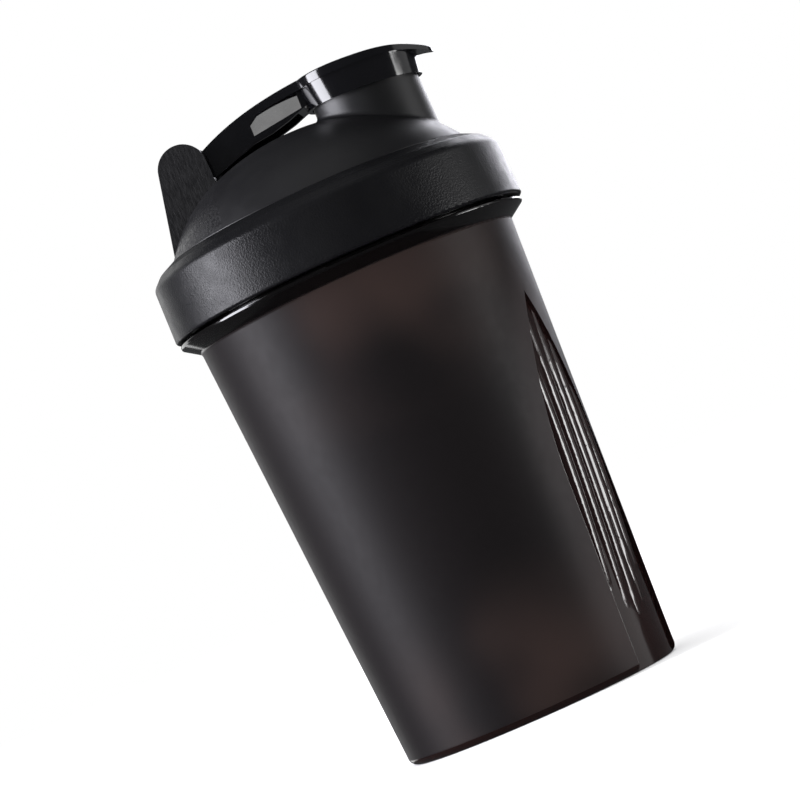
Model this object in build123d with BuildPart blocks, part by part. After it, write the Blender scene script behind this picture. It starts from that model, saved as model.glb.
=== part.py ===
from build123d import *
import os
from math import cos, pi, radians, sin

# Protein shaker bottle: a tapered cup, a screwed lid with a drinking spout under a flip cap,
# and a loose wire whisk ball. Millimetres. The origin is the centre of the foot, +Z is up,
# and the spout points along +X with the lid screwed shut.

# ---------------------------------------------------------------- driving dimensions
wall = 1.8                      # general moulded wall
gap = 0.3                       # clearance between pieces that move past each other
beyond = 30.0                   # how far the blocks used for cutting reach past the lid
cap_room_z = 140.0              # a height below everything on the flip cap

# cup
base_r = 35.35                  # outer radius at the foot
body_top_r = 41.5               # outer radius under the shoulder
body_top_z = 112.6
base_corner_r = 2.0
floor_z = 4.0                   # top of the cup's floor
foot_inner_r = 31.5             # inner radius of the ring that the cup stands on
foot_recess = 1.8
shoulder_r = 45.6               # shoulder flange that the collar closes against
shoulder_low_z = 115.4
shoulder_top_z = 116.2
neck_r = 41.6
neck_top_z = 129.2

# clear strips with grip ribs, one on each side of the cup
strip_azimuths = [-21.3, 158.7]
strip_half_width = 11.8
strip_depth = 0.9
strip_straight_z = 48.0         # the strip's sides start to curve in here
strip_tip_z = 94.0
rib_pitch = 6.6                 # degrees between neighbouring ribs
rib_half_width = 2.2
rib_height = 0.85
rib_lean = 4.0                  # degrees that the ribs lean to the right as they rise
rib_ends = [(20.0, 79.0), (14.5, 89.0), (12.0, 92.0), (14.5, 89.0), (20.0, 79.0)]

# two-start thread between the cup and the collar
thread_lead = 8.0
thread_starts = 2
thread_root_half = 1.1          # half width of a thread at its root
thread_crest_half = 0.6
cup_thread_crest_r = 43.3
cup_thread_z = 121.0            # height of the cup thread's centre where it starts
collar_thread_crest_r = 42.2
thread_turn = 0.6               # turns that each start runs

# collar
collar_bottom_z = 117.0
collar_bottom_r = 46.3
collar_shoulder_r = 45.9
collar_shoulder_z = 131.25
collar_slope_r = 43.45          # where the sloped top begins
collar_slope_z = 133.65
lip_r = 39.4                    # inner edge of the collar, around the dome
lip_z = 135.6
collar_bore_r = 44.1
collar_top_wall = 1.7

# dome
dome_rim_r = 39.05
dome_apex_z = 153.6
dome_crown_radius = 60.0        # the crown is part of a sphere
dome_crown_angle = 21.5         # degrees from the axis to where the shoulder begins
flange_r = 43.5                 # rim flange, clamped under the collar
flange_z = 130.6
flange_top_z = 131.35           # under the collar's slope, where the flange is clamped
flange_root_z = 133.8           # under the collar's lip
plug_skirt_r = 39.1             # skirt that reaches into the cup's mouth
plug_skirt_z = 127.4
mouth_r = 39.5

# spout
spout_x = 21.4
spout_r = 13.5
spout_bore_r = 11.7
spout_top_z = 158.4             # height of the spout's end on its own axis
spout_tilt = 4.6                # degrees that the spout's end falls towards +X

# hinge
hinge_x = -26.5
hinge_z = 155.5
ear_r = 6.2
ear_inner_y = 7.0
ear_outer_y = 9.6
ear_foot_x = -37.2
ear_foot_z = 136.0            # inside the dome's wall
pin_r = 1.5
pin_bore_r = 1.56
pin_head_r = 2.5
pin_head = 0.8
pin_blind_y = -8.6              # end of the blind hole in the near ear

# flip cap
cap_top = [(-22.0, 157.4), (-8.0, 162.1), (7.6, 163.8), (23.0, 162.9), (34.5, 161.2), (41.2, 158.4)]
cap_thickness = [2.2, 2.2, 2.3, 2.2, 1.5, 1.2]  # of the plate, at each point of cap_top
cap_root = 0.6                  # how far the arm and the skirt reach up into the plate
cap_disc_r = 16.3
cap_edge_r = 0.35
cap_lip_x = 40.7                # end of the lip that a thumb lifts
cap_lip_r = 5.4
arm_half = 6.7
arm_wall = 1.5
arm_low = [(7.6, 157.6), (5.0, 156.9), (1.9, 155.9), (-3.0, 154.8), (-8.0, 154.3), (-20.5, 150.6)]
# corners of the sunk panel in the arm's side, the last two above the plate's underside
panel_corners = [(-7.4, 158.9), (-7.4, 156.0), (6.0, 157.5), (6.2, 163.0), (-1.2, 163.0)]
panel_depth = 0.15              # at height panel_depth_z, and deeper above it
panel_depth_z = 156.0
panel_tilt = 6.2                # degrees
arm_hollow = (-19.0, 4.6)       # the hollow between the arm's walls, from and to along X
arm_flare_x = 15.4              # the plate widens from the arm to the round disc up to here
arm_flare_from_x = -4.0
arm_flare_half = 12.0
skirt_low_r = 14.6
skirt_top_r = 16.0              # outer radius where the skirt meets the plate
skirt_bore_r = 13.85
skirt_top_z = 163.0
skirt_low_z = 155.05            # height of the skirt's edge on the spout's axis
barrel_r = 4.4

# spout plug
plug_flange_r = 12.9
plug_r = 11.6
plug_tip_r = 10.6
plug_depth = 3.6
plug_wall = 1.4
plug_straight = 2.2             # the plug is straight down to here below the spout's end
plug_roof = 1.2                 # how far the plug's hollow reaches above the spout's end

# gasket
gasket_inner_r = 39.6
gasket_outer_r = 42.6

# whisk ball
ball_r = 24.0                   # radius of the sphere that the wire's centre lies on
ball_wire_r = 0.9
ball_turns = 12
ball_axis_tilt = 28.0
ball_z = floor_z + ball_r + ball_wire_r + 0.05

taper = (body_top_r - base_r) / body_top_z


def body_r(z):
    """Outer radius of the cup's tapered wall at height z."""
    return base_r + taper * z


def corner(sketch, r, z):
    """The corner of a section that lies nearest to radius r and height z."""
    return sketch.vertices().sort_by_distance((r, z, 0))[0]


def thread_section(root_r, crest_r, z):
    """Corners of one thread's section: wide at the root, narrow at the crest."""
    return [
        (root_r, z - thread_root_half),
        (crest_r, z - thread_crest_half),
        (crest_r, z + thread_crest_half),
        (root_r, z + thread_root_half),
    ]


def thread_starts_at(root_r, crest_r, first_z, turns):
    """The thread's starts, each a swept helix, as one compound of solids."""
    path = Helix(pitch=thread_lead, height=thread_lead * turns, radius=neck_r)
    with BuildPart() as one_start:
        with BuildSketch(Plane.XZ) as section:
            Polygon(*thread_section(root_r, crest_r, 0), align=None)
        sweep(section.sketch, path=path, is_frenet=True)
    raised = Pos(0, 0, first_z) * one_start.part
    return [Rot(0, 0, 360 / thread_starts * k) * raised for k in range(thread_starts)]


# ---------------------------------------------------------------- cup
with BuildPart() as strip_cutter:
    with BuildSketch(Plane(origin=(0, 0, 0), x_dir=(0, 1, 0), z_dir=(1, 0, 0))):
        with BuildLine():
            Line((-strip_half_width, -1), (strip_half_width, -1))
            right_side = Line((strip_half_width, -1), (strip_half_width, strip_straight_z))
            left_side = Line((-strip_half_width, -1), (-strip_half_width, strip_straight_z))
            TangentArc(right_side @ 1, (0, strip_tip_z), tangent=right_side % 1)
            TangentArc(left_side @ 1, (0, strip_tip_z), tangent=left_side % 1)
        make_face()
    extrude(amount=body_top_r + 10)
    with BuildSketch(Plane.XZ):
        with BuildLine():
            Polyline(
                (0, -2),
                (body_r(-2) - strip_depth, -2),
                (body_r(strip_tip_z + 5) - strip_depth, strip_tip_z + 5),
                (0, strip_tip_z + 5),
                close=True,
            )
        make_face()
    revolve(axis=Axis.Z, mode=Mode.SUBTRACT)


def grip_rib(azimuth, low_z, high_z):
    """A rib on the strip: the outer side of a slim barrel, so that its outline is pointed at both ends."""
    half_length = (high_z - low_z) / 2
    barrel_radius = (rib_half_width ** 2 + rib_height ** 2) / (2 * rib_height)
    end_radius = barrel_radius - rib_height
    with BuildPart() as rib:
        with BuildSketch(Plane.XZ):
            with BuildLine():
                ThreePointArc(
                    (end_radius, -half_length), (barrel_radius, 0), (end_radius, half_length)
                )
                Polyline(
                    (end_radius, half_length),
                    (0, half_length),
                    (0, -half_length),
                    (end_radius, -half_length),
                )
            make_face()
        revolve(axis=Axis.Z)
    middle_z = (low_z + high_z) / 2
    leaned = Rot(0, 180 / pi * taper, 0) * Rot(-rib_lean, 0, 0) * Pos(-end_radius, 0, 0) * rib.part
    return Rot(0, 0, azimuth) * Pos(body_r(middle_z) - strip_depth, 0, middle_z) * leaned


with BuildPart() as cup:
    with BuildSketch(Plane.XZ) as cup_section:
        with BuildLine():
            Polyline(
                (0, 0),
                (base_r, 0),
                (body_top_r, body_top_z),
                (shoulder_r, shoulder_low_z),
                (shoulder_r, shoulder_top_z),
                (neck_r, shoulder_top_z),
                (neck_r, neck_top_z),
                (0, neck_top_z),
                close=True,
            )
        make_face()
        fillet(corner(cup_section, base_r, 0), radius=base_corner_r)
        fillet(corner(cup_section, body_top_r, body_top_z), radius=1.0)
        fillet(corner(cup_section, shoulder_r, shoulder_low_z), radius=0.35)
        fillet(corner(cup_section, shoulder_r, shoulder_top_z), radius=0.3)
        fillet(corner(cup_section, neck_r, neck_top_z), radius=0.5)
    revolve(axis=Axis.Z)
    for strip_azimuth in strip_azimuths:
        add(Rot(0, 0, strip_azimuth) * strip_cutter.part, mode=Mode.SUBTRACT)
        for count, (low_z, high_z) in enumerate(rib_ends):
            offset_angle = (count - (len(rib_ends) - 1) / 2) * rib_pitch
            add(grip_rib(strip_azimuth + offset_angle, low_z, high_z))
    for start in thread_starts_at(neck_r - 0.4, cup_thread_crest_r, cup_thread_z, thread_turn):
        add(start)
    with BuildSketch(Plane.XZ) as cup_cavity:
        with BuildLine():
            Polyline(
                (0, floor_z),
                (body_r(floor_z) - wall, floor_z),
                (body_top_r - wall, body_top_z),
                (mouth_r, body_top_z + 1),
                (mouth_r, neck_top_z + 1),
                (0, neck_top_z + 1),
                close=True,
            )
        make_face()
        fillet(corner(cup_cavity, body_r(floor_z) - wall, floor_z), radius=4.0)
    revolve(axis=Axis.Z, mode=Mode.SUBTRACT)
    with BuildSketch(Plane.XZ) as foot_hollow:
        with BuildLine():
            Polyline(
                (0, -1),
                (foot_inner_r, -1),
                (foot_inner_r - 1.0, foot_recess),
                (0, foot_recess),
                close=True,
            )
        make_face()
    revolve(axis=Axis.Z, mode=Mode.SUBTRACT)

cup.part.label = "cup"

# ---------------------------------------------------------------- screw collar
with BuildPart() as screw_collar:
    with BuildSketch(Plane.XZ) as collar_section:
        with BuildLine():
            Polyline(
                (collar_bore_r, collar_bottom_z),
                (collar_bottom_r, collar_bottom_z),
                (collar_shoulder_r, collar_shoulder_z),
                (collar_slope_r, collar_slope_z),
                (lip_r, lip_z),
                (lip_r, lip_z - collar_top_wall),
                (collar_bore_r, flange_top_z),
                close=True,
            )
        make_face()
        fillet(corner(collar_section, collar_bottom_r, collar_bottom_z), radius=0.7)
        fillet(corner(collar_section, collar_shoulder_r, collar_shoulder_z), radius=2.2)
        fillet(corner(collar_section, collar_slope_r, collar_slope_z), radius=2.2)
        fillet(corner(collar_section, lip_r, lip_z), radius=0.4)
    revolve(axis=Axis.Z)
    half_pitch = thread_lead / thread_starts / 2
    collar_thread_z = cup_thread_z - half_pitch
    for start in thread_starts_at(
        collar_bore_r + 0.4, collar_thread_crest_r, collar_thread_z, thread_turn
    ):
        add(start)

screw_collar.part.label = "screw_collar"

# ---------------------------------------------------------------- dome with spout and ears
def dome_arcs(inset):
    """The dome's crown and shoulder as two tangent arcs, inset from its outer surface."""
    crown = CenterArc(
        center=(0, dome_apex_z - dome_crown_radius),
        radius=dome_crown_radius - inset,
        start_angle=90,
        arc_size=-dome_crown_angle,
    )
    TangentArc(crown @ 1, (dome_rim_r - inset, lip_z - inset / 2), tangent=crown % 1)


with BuildPart() as dome_hollow:
    with BuildSketch(Plane.XZ):
        with BuildLine():
            dome_arcs(wall)
            Polyline(
                (0, dome_apex_z - wall),
                (0, plug_skirt_z - 1),
                (dome_rim_r - wall, plug_skirt_z - 1),
                (dome_rim_r - wall, lip_z - wall / 2),
            )
        make_face()
    revolve(axis=Axis.Z)

with BuildPart() as lid_dome:
    with BuildSketch(Plane.XZ):
        with BuildLine():
            dome_arcs(0)
            Polyline(
                (0, dome_apex_z),
                (0, plug_skirt_z),
                (plug_skirt_r - 0.5, plug_skirt_z),
                (plug_skirt_r, plug_skirt_z + 1.2),
                (plug_skirt_r, flange_z),
                (flange_r, flange_z),
                (flange_r, flange_top_z),
                (dome_rim_r, flange_root_z),
                (dome_rim_r, lip_z),
            )
        make_face()
    revolve(axis=Axis.Z)
    # spout, cut off at its tilt
    with BuildSketch(Plane.XY.offset(lip_z)):
        with Locations((spout_x, 0)):
            Circle(spout_r)
    extrude(amount=spout_top_z + 5 - lip_z)
    root_edges = lid_dome.edges(Select.LAST).filter_by(GeomType.CIRCLE, reverse=True)
    fillet(root_edges.filter_by(lambda edge: edge.length > spout_r), radius=1.2)
    spout_end = Plane(
        origin=(spout_x, 0, spout_top_z),
        x_dir=(cos(radians(spout_tilt)), 0, -sin(radians(spout_tilt))),
        z_dir=(sin(radians(spout_tilt)), 0, cos(radians(spout_tilt))),
    )
    split(bisect_by=spout_end, keep=Keep.BOTTOM)
    # hinge ears
    for side in (-1, 1):
        ear_plane = Plane(origin=(0, side * ear_outer_y, 0), x_dir=(1, 0, 0), z_dir=(0, -1, 0))
        with BuildSketch(ear_plane):
            with BuildLine():
                front_x = hinge_x + ear_r
                back_side = Line((ear_foot_x, ear_foot_z), (hinge_x - ear_r + 0.15, hinge_z + 1.2))
                ThreePointArc(back_side @ 1, (hinge_x, hinge_z + ear_r), (front_x, hinge_z))
                Polyline((front_x, hinge_z), (front_x, ear_foot_z), (ear_foot_x, ear_foot_z))
            make_face()
        extrude(amount=side * (ear_outer_y - ear_inner_y))
    add(dome_hollow.part, mode=Mode.SUBTRACT)
    # drinking bore
    with BuildSketch(Plane.XY.offset(lip_z)):
        with Locations((spout_x, 0)):
            Circle(spout_bore_r)
    extrude(amount=spout_top_z + 5 - lip_z, mode=Mode.SUBTRACT)
    # pin hole: through the far ear, blind in the near one
    with BuildSketch(Plane(origin=(hinge_x, pin_blind_y, hinge_z), z_dir=(0, 1, 0))):
        Circle(pin_r)
    extrude(amount=beyond, mode=Mode.SUBTRACT)
    with BuildSketch(Plane(origin=(hinge_x, ear_outer_y - pin_head, hinge_z), z_dir=(0, 1, 0))):
        Circle(pin_head_r)
    extrude(amount=5, mode=Mode.SUBTRACT)

lid_dome.part.label = "lid_dome"

# ---------------------------------------------------------------- hinge pin
with BuildPart() as hinge_pin:
    with BuildSketch(Plane(origin=(hinge_x, pin_blind_y, hinge_z), z_dir=(0, 1, 0))):
        Circle(pin_r)
    extrude(amount=ear_outer_y - pin_blind_y)
    chamfer(hinge_pin.faces().sort_by(Axis.Y)[0].edges(), length=0.3)
    with BuildSketch(Plane(origin=(hinge_x, ear_outer_y - pin_head, hinge_z), z_dir=(0, 1, 0))):
        Circle(pin_head_r)
    extrude(amount=pin_head)
    fillet(hinge_pin.faces().sort_by(Axis.Y)[-1].edges(), radius=0.25)

hinge_pin.part.label = "hinge_pin"

# ---------------------------------------------------------------- flip cap
skirt_plane = Plane(
    origin=(spout_x, 0, skirt_low_z),
    x_dir=(cos(radians(spout_tilt)), 0, -sin(radians(spout_tilt))),
    z_dir=(sin(radians(spout_tilt)), 0, cos(radians(spout_tilt))),
)
cap_underside = [(x, z - thickness) for (x, z), thickness in zip(cap_top, cap_thickness)]

with BuildPart() as under_cap:
    # everything below a line inside the cap's plate
    with BuildSketch(Plane.XZ):
        with BuildLine():
            Spline(*[(x, z - cap_root) for x, z in cap_top])
            Polyline(
                (cap_top[-1][0], cap_top[-1][1] - cap_root),
                (cap_top[-1][0], cap_room_z),
                (cap_top[0][0], cap_room_z),
                (cap_top[0][0], cap_top[0][1] - cap_root),
            )
        make_face()
    extrude(amount=beyond, both=True)

with BuildPart() as cap_skirt:
    with BuildSketch(Plane.XZ):
        with BuildLine():
            Polyline(
                (spout_x + skirt_bore_r, ear_foot_z),
                (spout_x + skirt_low_r, ear_foot_z),
                (spout_x + skirt_low_r, skirt_low_z - 1),
                (spout_x + skirt_top_r, skirt_top_z),
                (spout_x + skirt_top_r, skirt_top_z + 5),
                (spout_x + skirt_bore_r, skirt_top_z + 5),
                close=True,
            )
        make_face()
    revolve(axis=Axis((spout_x, 0, 0), (0, 0, 1)))
    split(bisect_by=skirt_plane, keep=Keep.TOP)
    add(under_cap.part, mode=Mode.INTERSECT)

with BuildPart() as arm_panel:
    # what is cut from the near side of the arm to leave the sunk panel
    with BuildSketch(Plane.XZ):
        Polygon(*panel_corners, align=None)
    extrude(amount=arm_half + 1)
    panel_face = Plane(
        origin=(0, panel_depth - arm_half, panel_depth_z),
        x_dir=(1, 0, 0),
        z_dir=(0, -cos(radians(panel_tilt)), sin(radians(panel_tilt))),
    )
    split(bisect_by=panel_face, keep=Keep.TOP)

with BuildPart() as cap_arm:
    # two side walls under the plate, from the hinge barrel to the skirt
    with BuildSketch(Plane.XZ):
        with BuildLine():
            top_curve = Spline(*[(x, z - cap_root) for x, z in cap_top[:3]])
            Polyline(
                top_curve @ 1,
                *arm_low,
                (hinge_x, hinge_z - barrel_r),
                (hinge_x, hinge_z + barrel_r / 3),
                top_curve @ 0,
            )
        make_face()
    extrude(amount=arm_half, both=True)
    with BuildSketch(Plane.XZ):
        with Locations((sum(arm_hollow) / 2, hinge_z)):
            Rectangle(arm_hollow[1] - arm_hollow[0], beyond)
    extrude(amount=arm_half - arm_wall, both=True, mode=Mode.SUBTRACT)
    add(arm_panel.part, mode=Mode.SUBTRACT)
    add(mirror(arm_panel.part, about=Plane.XZ), mode=Mode.SUBTRACT)

with BuildPart() as flip_cap:
    with BuildSketch(Plane.XZ):
        with BuildLine():
            top_line = Spline(*cap_top)
            low_line = Spline(*cap_underside)
            Line(top_line @ 0, low_line @ 0)
            Line(top_line @ 1, low_line @ 1)
        make_face()
    extrude(amount=beyond, both=True)
    with BuildSketch(Plane.XY.offset(cap_room_z)):
        with Locations((spout_x, 0)):
            Circle(cap_disc_r)
        lip_centre_x = cap_lip_x - cap_lip_r
        with Locations((lip_centre_x, 0)):
            Circle(cap_lip_r)
        # straight sides, tangent to the disc and to the lip's round end
        across = (cap_disc_r - cap_lip_r) / (lip_centre_x - spout_x)
        along = (1 - across ** 2) ** 0.5
        Polygon(
            (spout_x + cap_disc_r * across, cap_disc_r * along),
            (spout_x + cap_disc_r * across, -cap_disc_r * along),
            (lip_centre_x + cap_lip_r * across, -cap_lip_r * along),
            (lip_centre_x + cap_lip_r * across, cap_lip_r * along),
            align=None,
        )
        with BuildLine():
            for side in (1, -1):
                Line((-beyond, 0), (-beyond, side * arm_half))
                straight = Line((-beyond, side * arm_half), (arm_flare_from_x, side * arm_half))
                flare_end = (arm_flare_x, side * arm_flare_half)
                bend = TangentArc(straight @ 1, flare_end, tangent=straight % 1)
                Line(bend @ 1, (arm_flare_x, 0))
        make_face()
    extrude(amount=beyond, mode=Mode.INTERSECT)
    fillet(flip_cap.faces().sort_by(Axis.Z)[-1].edges(), radius=cap_edge_r)
    add(cap_skirt.part)
    add(cap_arm.part)
    with BuildSketch(Plane(origin=(hinge_x, -arm_half, hinge_z), z_dir=(0, 1, 0))):
        Circle(barrel_r)
    extrude(amount=2 * arm_half)
    with BuildSketch(Plane(origin=(hinge_x, -arm_half - 1, hinge_z), z_dir=(0, 1, 0))):
        Circle(pin_bore_r)
    extrude(amount=2 * arm_half + 2, mode=Mode.SUBTRACT)

flip_cap.part.label = "flip_cap"

# ---------------------------------------------------------------- spout plug
with BuildPart() as under_plate:
    # everything below the cap's plate
    with BuildSketch(Plane.XZ):
        with BuildLine():
            Spline(*cap_underside)
            Polyline(
                cap_underside[-1],
                (cap_underside[-1][0], cap_room_z),
                (cap_underside[0][0], cap_room_z),
                cap_underside[0],
            )
        make_face()
    extrude(amount=beyond, both=True)

with BuildPart() as spout_plug:
    # flange that lies on the spout's end
    with BuildSketch(Plane.XY.offset(cap_room_z)):
        with Locations((spout_x, 0)):
            Circle(plug_flange_r)
    extrude(amount=beyond)
    split(bisect_by=spout_end.offset(gap), keep=Keep.TOP)
    # tapered plug in the bore
    with BuildSketch(Plane.XZ):
        with BuildLine():
            Polyline(
                (spout_x, spout_top_z + 2),
                (spout_x + plug_r, spout_top_z + 2),
                (spout_x + plug_r, spout_top_z - plug_straight),
                (spout_x + plug_tip_r, spout_top_z - plug_depth),
                (spout_x, spout_top_z - plug_depth),
                close=True,
            )
        make_face()
    revolve(axis=Axis((spout_x, 0, 0), (0, 0, 1)))
    with BuildSketch(Plane.XY.offset(spout_top_z - plug_depth)):
        with Locations((spout_x, 0)):
            Circle(plug_tip_r - plug_wall)
    extrude(amount=plug_depth + plug_roof, mode=Mode.SUBTRACT)
    add(under_plate.part, mode=Mode.INTERSECT)

spout_plug.part.label = "spout_plug"

# ---------------------------------------------------------------- gasket
with BuildPart() as lid_gasket:
    with BuildSketch(Plane.XZ) as gasket_section:
        with BuildLine():
            Polyline(
                (gasket_inner_r, neck_top_z),
                (gasket_outer_r, neck_top_z),
                (gasket_outer_r, flange_z),
                (gasket_inner_r, flange_z),
                close=True,
            )
        make_face()
        fillet(gasket_section.vertices(), radius=0.3)
    revolve(axis=Axis.Z)

lid_gasket.part.label = "lid_gasket"

# ---------------------------------------------------------------- whisk ball
def ball_point(k):
    """The k-th turning point of the wire, on the sphere's meridian."""
    angle = radians(8 + (180 - 16) * k / ball_turns)
    side = 1 if k % 2 == 0 else -1
    return (side * ball_r * sin(angle), 0, -ball_r * cos(angle))


with BuildPart() as whisk_ball:
    with BuildLine() as wire:
        for k in range(ball_turns):
            x1, y1, z1 = ball_point(k)
            x2, y2, z2 = ball_point(k + 1)
            half = ((x2 - x1) ** 2 + (z2 - z1) ** 2) ** 0.5 / 2
            bulge = half if k % 2 == 0 else -half
            ThreePointArc((x1, y1, z1), ((x1 + x2) / 2, bulge, (z1 + z2) / 2), (x2, y2, z2))
    with BuildSketch(Plane(origin=wire.line @ 0, z_dir=wire.line % 0)):
        Circle(ball_wire_r)
    sweep(path=wire.line)

placed_ball = Pos(0, 0, ball_z) * Rot(ball_axis_tilt, 0, 35) * whisk_ball.part
placed_ball.label = "whisk_ball"

# ---------------------------------------------------------------- files
os.makedirs("parts", exist_ok=True)
for piece in (
    cup.part,
    screw_collar.part,
    lid_dome.part,
    lid_gasket.part,
    flip_cap.part,
    hinge_pin.part,
    spout_plug.part,
    placed_ball,
):
    export_step(piece, f"parts/{piece.label}.step")
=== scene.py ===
from math import cos, radians, sin

import bpy
from mathutils import Matrix, Vector


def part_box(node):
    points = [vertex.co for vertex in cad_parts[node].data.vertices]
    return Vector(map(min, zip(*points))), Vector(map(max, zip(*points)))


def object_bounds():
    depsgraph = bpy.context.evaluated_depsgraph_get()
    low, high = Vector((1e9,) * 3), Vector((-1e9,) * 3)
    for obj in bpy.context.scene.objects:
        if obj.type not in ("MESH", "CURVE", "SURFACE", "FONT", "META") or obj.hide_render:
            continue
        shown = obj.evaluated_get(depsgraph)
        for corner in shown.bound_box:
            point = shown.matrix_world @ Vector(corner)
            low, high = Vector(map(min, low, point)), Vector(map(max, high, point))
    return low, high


# Protein shaker bottle: looks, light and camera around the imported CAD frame. Metres, +Z up.
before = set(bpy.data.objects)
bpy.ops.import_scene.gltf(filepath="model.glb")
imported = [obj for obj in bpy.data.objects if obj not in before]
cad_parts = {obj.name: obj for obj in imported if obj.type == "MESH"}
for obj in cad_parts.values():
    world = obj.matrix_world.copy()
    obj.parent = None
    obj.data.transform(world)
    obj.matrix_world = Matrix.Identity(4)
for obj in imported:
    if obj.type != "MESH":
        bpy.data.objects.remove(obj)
cad_low, cad_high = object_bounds()
middle = (cad_low + cad_high) / 2

# ---------------------------------------------------------------- camera
camera_azimuth = radians(5.238)     # the camera stands in front, a little to the right
camera_distance = 0.798685
camera_height = 0.047845
camera_roll = radians(23.999)       # the bottle's top leans to the left in the picture
camera_pan = radians(0.122)
camera_tilt = radians(2.51)

forward = Vector((-sin(camera_azimuth), cos(camera_azimuth), 0))
right = Vector((cos(camera_azimuth), sin(camera_azimuth), 0))
up = Vector((0, 0, 1))
turn = Matrix.Rotation(camera_pan, 3, up)
forward, right = turn @ forward, turn @ right
turn = Matrix.Rotation(camera_tilt, 3, right)
forward, up = turn @ forward, turn @ up
turn = Matrix.Rotation(camera_roll, 3, forward)
right, up = turn @ right, turn @ up

camera = bpy.data.objects.new("camera", bpy.data.cameras.new("camera"))
bpy.context.collection.objects.link(camera)
camera.data.sensor_width = 36
camera.data.lens = 146.79
camera.data.clip_start = 0.01
camera.data.clip_end = 50
place = Matrix((right, up, -forward)).transposed().to_4x4()
place.translation = (
    camera_distance * sin(camera_azimuth),
    -camera_distance * cos(camera_azimuth),
    camera_height,
)
camera.matrix_world = place
bpy.context.scene.camera = camera
bpy.context.scene.view_settings.view_transform = "Standard"


# ---------------------------------------------------------------- light and surroundings
def softbox(name, azimuth, elevation, distance, width, height, watts, target, tint=(1, 1, 1)):
    """A soft area light that faces target. Azimuth 0 is in front and 90 is at the right."""
    a, e = radians(azimuth), radians(elevation)
    away = Vector((sin(a) * cos(e), -cos(a) * cos(e), sin(e)))
    data = bpy.data.lights.new(name, "AREA")
    data.shape = "RECTANGLE"
    data.size = width
    data.size_y = height
    data.energy = watts
    data.color = tint
    lamp = bpy.data.objects.new(name, data)
    bpy.context.collection.objects.link(lamp)
    lamp.location = target + away * distance
    lamp.rotation_mode = "QUATERNION"
    lamp.rotation_quaternion = away.to_track_quat("Z", "Y")


cap_low, cap_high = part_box("flip_cap")
# middle of the sunk panel in the near side of the cap's arm
arm_panel = Vector((cap_low.x + 0.0302, -0.0063, cap_high.z - 0.0044))
cool = (0.93, 0.93, 1)

# name, azimuth, elevation, distance, width, height, watts, target, tint
softbox("key_left", -75, 13, 1.1, 0.48, 0.95, 27, middle, cool)
softbox("rim_back_left", -146, 10, 1.2, 0.5, 1.1, 2.2, middle)
softbox("rim_back_right", 158, 17, 1.2, 0.5, 0.6, 6, middle, cool)
softbox("fill_right", 100, 8, 1.2, 0.7, 0.9, 1.3, middle)
softbox("rib_card", 84, -6.4, 0.55, 0.15, 0.16, 1.1, middle)
softbox("top_fill", 20, 80, 1.4, 1.0, 1.0, 1.2, middle)
softbox("front_card", -6.1, 20.2, 1.1, 0.16, 0.12, 0.31, arm_panel)

world = bpy.data.worlds.new("studio")
bpy.context.scene.world = world
world.use_nodes = True
world_nodes, world_links = world.node_tree.nodes, world.node_tree.links
world_nodes.clear()


def surround(strength, tint):
    """A background of one brightness."""
    node = world_nodes.new("ShaderNodeBackground")
    node.inputs["Color"].default_value = (*tint, 1)
    node.inputs["Strength"].default_value = strength
    return node.outputs[0]


def choose(which, otherwise, chosen):
    """chosen for the rays that which marks, and otherwise for the rest."""
    node = world_nodes.new("ShaderNodeMixShader")
    world_links.new(which, node.inputs[0])
    world_links.new(otherwise, node.inputs[1])
    world_links.new(chosen, node.inputs[2])
    return node.outputs[0]


# a white backdrop, soft white light on the floor, and a dim studio in the reflections
rays = world_nodes.new("ShaderNodeLightPath")
lit = choose(rays.outputs["Is Diffuse Ray"], surround(0.07, (0.94, 0.97, 1)), surround(1.2, (1, 1, 1)))
lit = choose(rays.outputs["Is Camera Ray"], lit, surround(1.0, (1, 1, 1)))
world_out = world_nodes.new("ShaderNodeOutputWorld")
world_links.new(lit, world_out.inputs["Surface"])


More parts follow.
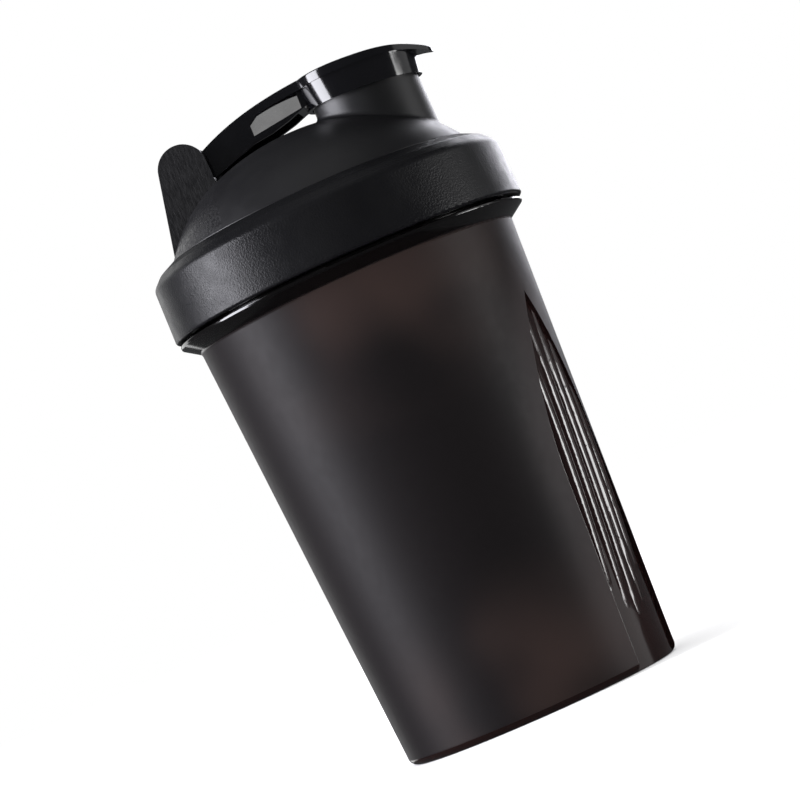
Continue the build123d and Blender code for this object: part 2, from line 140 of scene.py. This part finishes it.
# ---------------------------------------------------------------- node helpers
class Nodes:
    """A new material, with short calls that add and join its nodes. Lengths are in millimetres."""

    def __init__(self, name):
        self.material = bpy.data.materials.new(name)
        self.material.use_nodes = True
        self.tree = self.material.node_tree
        self.bsdf = self.tree.nodes["Principled BSDF"]
        coordinates = self.tree.nodes.new("ShaderNodeTexCoord")
        scaled = self.tree.nodes.new("ShaderNodeVectorMath")
        scaled.operation = "SCALE"
        scaled.inputs["Scale"].default_value = 1000
        self.join(coordinates.outputs["Object"], scaled.inputs[0])
        self.mm = scaled.outputs[0]

    def join(self, source, target):
        self.tree.links.new(source, target)

    def feed(self, value, target):
        """Links value to target if it is a socket, or else sets it."""
        if isinstance(value, bpy.types.NodeSocket):
            self.join(value, target)
        else:
            target.default_value = value

    def xyz(self):
        split = self.tree.nodes.new("ShaderNodeSeparateXYZ")
        self.join(self.mm, split.inputs[0])
        return split.outputs[0], split.outputs[1], split.outputs[2]

    def math(self, operation, a, b=0.0, clamp=False):
        node = self.tree.nodes.new("ShaderNodeMath")
        node.operation = operation
        node.use_clamp = clamp
        self.feed(a, node.inputs[0])
        self.feed(b, node.inputs[1])
        return node.outputs[0]

    def ramp(self, value, low, high, to_low=0.0, to_high=1.0):
        """value mapped smoothly from low..high to to_low..to_high."""
        node = self.tree.nodes.new("ShaderNodeMapRange")
        node.interpolation_type = "SMOOTHSTEP"
        for name, number in (
            ("From Min", low), ("From Max", high), ("To Min", to_low), ("To Max", to_high)
        ):
            self.feed(number, node.inputs[name])
        self.join(value, node.inputs["Value"])
        return node.outputs[0]

    def noise(self, size, detail=2.0, stretch=(1, 1, 1), roughness=0.5):
        """Noise whose blobs are about size millimetres across."""
        mapping = self.tree.nodes.new("ShaderNodeMapping")
        mapping.inputs["Scale"].default_value = [s / size for s in stretch]
        self.join(self.mm, mapping.inputs[0])
        node = self.tree.nodes.new("ShaderNodeTexNoise")
        node.inputs["Scale"].default_value = 1
        node.inputs["Detail"].default_value = detail
        node.inputs["Roughness"].default_value = roughness
        self.join(mapping.outputs[0], node.inputs["Vector"])
        return node.outputs[0]

    def cells(self, size):
        """Distance to the nearest of points that are about size millimetres apart."""
        mapping = self.tree.nodes.new("ShaderNodeMapping")
        mapping.inputs["Scale"].default_value = (1 / size,) * 3
        self.join(self.mm, mapping.inputs[0])
        node = self.tree.nodes.new("ShaderNodeTexVoronoi")
        node.inputs["Scale"].default_value = 1
        self.join(mapping.outputs[0], node.inputs["Vector"])
        return node.outputs["Distance"]

    def blend(self, amount, first, second):
        """A colour between first and second."""
        node = self.tree.nodes.new("ShaderNodeMix")
        node.data_type = "RGBA"
        self.feed(amount, node.inputs[0])
        self.feed(first, node.inputs[6])
        self.feed(second, node.inputs[7])
        return node.outputs[2]

    def mix(self, amount, first, second):
        """A number between first and second."""
        node = self.tree.nodes.new("ShaderNodeMix")
        self.feed(amount, node.inputs[0])
        self.feed(first, node.inputs[2])
        self.feed(second, node.inputs[3])
        return node.outputs[0]

    def bump(self, height, millimetres, strength=1.0, under=None):
        """A normal raised by height, on top of the normal under."""
        node = self.tree.nodes.new("ShaderNodeBump")
        node.inputs["Distance"].default_value = millimetres / 1000
        self.feed(strength, node.inputs["Strength"])
        self.join(height, node.inputs["Height"])
        if under is not None:
            self.join(under, node.inputs["Normal"])
        return node.outputs[0]

    def edges(self, low=0.51, high=0.56):
        """1 along sharp outer edges, 0 elsewhere."""
        geometry = self.tree.nodes.new("ShaderNodeNewGeometry")
        return self.ramp(geometry.outputs["Pointiness"], low, high)

    def set(self, **values):
        """Feeds the shader's inputs, named with _ for each space."""
        for name, value in values.items():
            self.feed(value, self.bsdf.inputs[name.replace("_", " ")])


def dress(node, material):
    """Gives a CAD node its finished material."""
    for material_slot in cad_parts[node].material_slots:
        material_slot.material = material


# ---------------------------------------------------------------- cup: frosted smoky plastic, clear strips
# the cup's outer wall and the outline of its clear strips, in millimetres
base_r = 35.35
body_top_r = 41.5
body_top_z = 112.6
foot_corner_z = 1.5
strip_azimuth = radians(-21.3)
strip_half_width = 11.8
strip_straight_z = 48.0
strip_tip_z = 94.0
strip_rise = strip_tip_z - strip_straight_z
strip_side_radius = (strip_rise ** 2 + strip_half_width ** 2) / (2 * strip_half_width)


def beyond_strip(m, x, y, z):
    """Millimetres from a strip's side: below 0 on the strip, above 0 outside it."""
    along = m.math("MULTIPLY", y, cos(strip_azimuth))
    against = m.math("MULTIPLY", x, sin(strip_azimuth))
    across = m.math("ABSOLUTE", m.math("SUBTRACT", along, against))
    above = m.math("MAXIMUM", m.math("SUBTRACT", z, strip_straight_z), 0.0)
    inside_root = m.math("SUBTRACT", strip_side_radius ** 2, m.math("MULTIPLY", above, above))
    side = m.math("SQRT", m.math("MAXIMUM", inside_root, 0.0))
    half_width = m.math("ADD", side, strip_half_width - strip_side_radius)
    return m.math("SUBTRACT", across, half_width)


def inside_wall(m, x, y, z):
    """Millimetres from the cup's outer wall, below 0 inside it."""
    radius = m.math("SQRT", m.math("ADD", m.math("MULTIPLY", x, x), m.math("MULTIPLY", y, y)))
    wall_radius = m.math("ADD", m.math("MULTIPLY", z, (body_top_r - base_r) / body_top_z), base_r)
    return m.math("SUBTRACT", radius, wall_radius)


m = Nodes("smoky_cup")
x, y, z = m.xyz()
to_side = beyond_strip(m, x, y, z)
outside_strip = m.ramp(to_side, -0.02, 0.1)
outer = m.ramp(inside_wall(m, x, y, z), -1.2, -0.9)
below_shoulder = m.ramp(z, body_top_z - 0.4, body_top_z + 0.3, 1.0, 0.0)
above_foot = m.ramp(z, foot_corner_z, foot_corner_z + 0.4)
on_wall = m.math("MULTIPLY", outside_strip, outer)
frosted = m.math("MULTIPLY", on_wall, m.math("MULTIPLY", below_shoulder, above_foot))

# painted light: a brown glow, as of light coming through the plastic, in patches near the top and the foot
light_through = m.math("ADD", m.ramp(z, 72.0, 104.0), m.ramp(z, 8.0, 42.0, 1.0, 0.0))
painted_glow = m.math("MULTIPLY", light_through, m.ramp(m.noise(34, 1.0), 0.34, 0.66), True)
# the painted glow fades out towards -x and drops to half towards +x
painted_glow = m.math("MULTIPLY", painted_glow, m.ramp(x, -32.0, -8.0))
painted_glow = m.math("MULTIPLY", painted_glow, m.ramp(x, 8.0, 32.0, 1.0, 0.5))
frost_and_painted_glow = m.blend(painted_glow, (0.0062, 0.0046, 0.0052, 1), (0.0255, 0.0150, 0.0130, 1))
# painted light: the frosted wall is painted lighter towards the clear strips
painted_strip_glow = m.ramp(to_side, 0.0, 11.0, 0.36, 0.0)
frost_and_painted_glow = m.blend(painted_strip_glow, frost_and_painted_glow, (0.042, 0.034, 0.035, 1))
clear = m.blend(m.noise(22, 1.0), (0.0055, 0.0022, 0.0021, 1), (0.010, 0.0042, 0.0039, 1))
clear = m.blend(below_shoulder, (0.0016, 0.0013, 0.0014, 1), clear)

frost_grain = m.noise(0.22, 3.0)
frost_rough = m.ramp(m.noise(2.5, 3.0), 0.3, 0.7, 0.475, 0.505)
clear_rough = m.ramp(m.noise(9.0), 0.3, 0.7, 0.09, 0.13)
m.set(
    Base_Color=m.blend(frosted, clear, frost_and_painted_glow),
    Roughness=m.mix(frosted, clear_rough, frost_rough),
    Specular_IOR_Level=m.ramp(frosted, 0, 1, 0.5, 0.145),
    Normal=m.bump(frost_grain, 0.012, m.ramp(frosted, 0, 1, 0.03, 0.8)),
)
dress("cup", m.material)

# ---------------------------------------------------------------- collar: fine leather grain
m = Nodes("grained_collar")
grain = m.math("ADD", m.cells(0.5), m.math("MULTIPLY", m.noise(0.28, 3.0), 1.2))
wear = m.edges()
m.set(
    Base_Color=m.blend(m.noise(14), (0.0028, 0.0028, 0.0036, 1), (0.0046, 0.0046, 0.0056, 1)),
    Roughness=m.mix(wear, m.ramp(m.noise(3.5, 4.0), 0.3, 0.7, 0.33, 0.41), 0.27),
    Normal=m.bump(grain, 0.042, 1.0),
)
m.bsdf.inputs["Specular IOR Level"].default_value = 0.22
dress("screw_collar", m.material)

# ---------------------------------------------------------------- dome: smooth matt, streaked ears
ear_outer_y = 9.6       # millimetres
ear_front_x = -20.3

m = Nodes("matt_dome")
x, y, z = m.xyz()
on_ear = m.math(
    "MULTIPLY",
    m.ramp(m.math("ABSOLUTE", y), ear_outer_y - 0.15, ear_outer_y - 0.02),
    m.ramp(x, ear_front_x - 0.1, ear_front_x + 0.3, 1.0, 0.0),
)
streaks = m.noise(0.6, 4.0, (1, 1, 0.22), 0.65)
fine = m.noise(0.3, 2.0)
m.set(
    Base_Color=m.blend(m.noise(18), (0.0034, 0.0033, 0.0044, 1), (0.0052, 0.0050, 0.0062, 1)),
    Roughness=m.mix(
        on_ear,
        m.ramp(m.noise(4.0, 3.0), 0.3, 0.7, 0.42, 0.48),
        m.ramp(streaks, 0.35, 0.65, 0.30, 0.62),
    ),
    Normal=m.bump(streaks, 0.1, on_ear, m.bump(fine, 0.008, 0.5)),
)
dress("lid_dome", m.material)

# ---------------------------------------------------------------- flip cap: high gloss
m = Nodes("gloss_cap")
m.set(
    Base_Color=m.blend(m.noise(12), (0.0020, 0.0020, 0.0026, 1), (0.0036, 0.0036, 0.0044, 1)),
    Roughness=m.ramp(m.noise(5.0, 4.0), 0.3, 0.75, 0.09, 0.13),
    Normal=m.bump(m.noise(7.0, 1.0), 0.02, 0.35),
)
dress("flip_cap", m.material)

# ---------------------------------------------------------------- hinge pin: satin plastic
m = Nodes("satin_pin")
m.set(
    Base_Color=m.blend(m.noise(2), (0.010, 0.010, 0.011, 1), (0.016, 0.016, 0.017, 1)),
    Roughness=m.ramp(m.noise(1.2, 3.0), 0.3, 0.7, 0.28, 0.4),
    Normal=m.bump(m.noise(0.3), 0.006, 0.6),
)
dress("hinge_pin", m.material)

# ---------------------------------------------------------------- spout plug: dark silicone
m = Nodes("plug_silicone")
m.set(
    Base_Color=m.blend(m.noise(4), (0.022, 0.022, 0.024, 1), (0.032, 0.032, 0.034, 1)),
    Roughness=m.ramp(m.noise(2.0, 3.0), 0.3, 0.7, 0.5, 0.62),
    Normal=m.bump(m.noise(0.35, 3.0), 0.012, 0.6),
)
dress("spout_plug", m.material)

# ---------------------------------------------------------------- gasket: pale silicone
m = Nodes("gasket_silicone")
m.set(
    Base_Color=m.blend(m.noise(6), (0.20, 0.20, 0.21, 1), (0.27, 0.27, 0.28, 1)),
    Roughness=m.ramp(m.noise(2.0, 3.0), 0.3, 0.7, 0.5, 0.64),
    Normal=m.bump(m.noise(0.35, 3.0), 0.012, 0.6),
)
dress("lid_gasket", m.material)

# ---------------------------------------------------------------- whisk ball: drawn stainless wire
m = Nodes("drawn_steel")
m.set(
    Base_Color=m.blend(m.noise(3), (0.58, 0.58, 0.59, 1), (0.70, 0.70, 0.71, 1)),
    Roughness=m.ramp(m.noise(0.8, 4.0), 0.3, 0.7, 0.18, 0.32),
    Normal=m.bump(m.noise(0.2, 2.0), 0.008, 0.6),
    Metallic=1.0,
)
dress("whisk_ball", m.material)

# ---------------------------------------------------------------- floor
floor_half = 12.0
floor_corners = [
    (side_x * floor_half, side_y * floor_half, cad_low.z)
    for side_x, side_y in ((-1, -1), (1, -1), (1, 1), (-1, 1))
]
floor_mesh = bpy.data.meshes.new("floor")
floor_mesh.from_pydata(floor_corners, [], [(0, 1, 2, 3)])
floor = bpy.data.objects.new("floor", floor_mesh)
bpy.context.collection.objects.link(floor)
m = Nodes("pale_floor")
m.bsdf.inputs["Specular IOR Level"].default_value = 0.0
m.set(
    Base_Color=m.blend(m.noise(60), (0.86, 0.86, 0.86, 1), (0.90, 0.90, 0.90, 1)),
    Roughness=m.ramp(m.noise(30), 0.3, 0.7, 0.6, 0.7),
)
floor_mesh.materials.append(m.material)
floor.visible_glossy = False
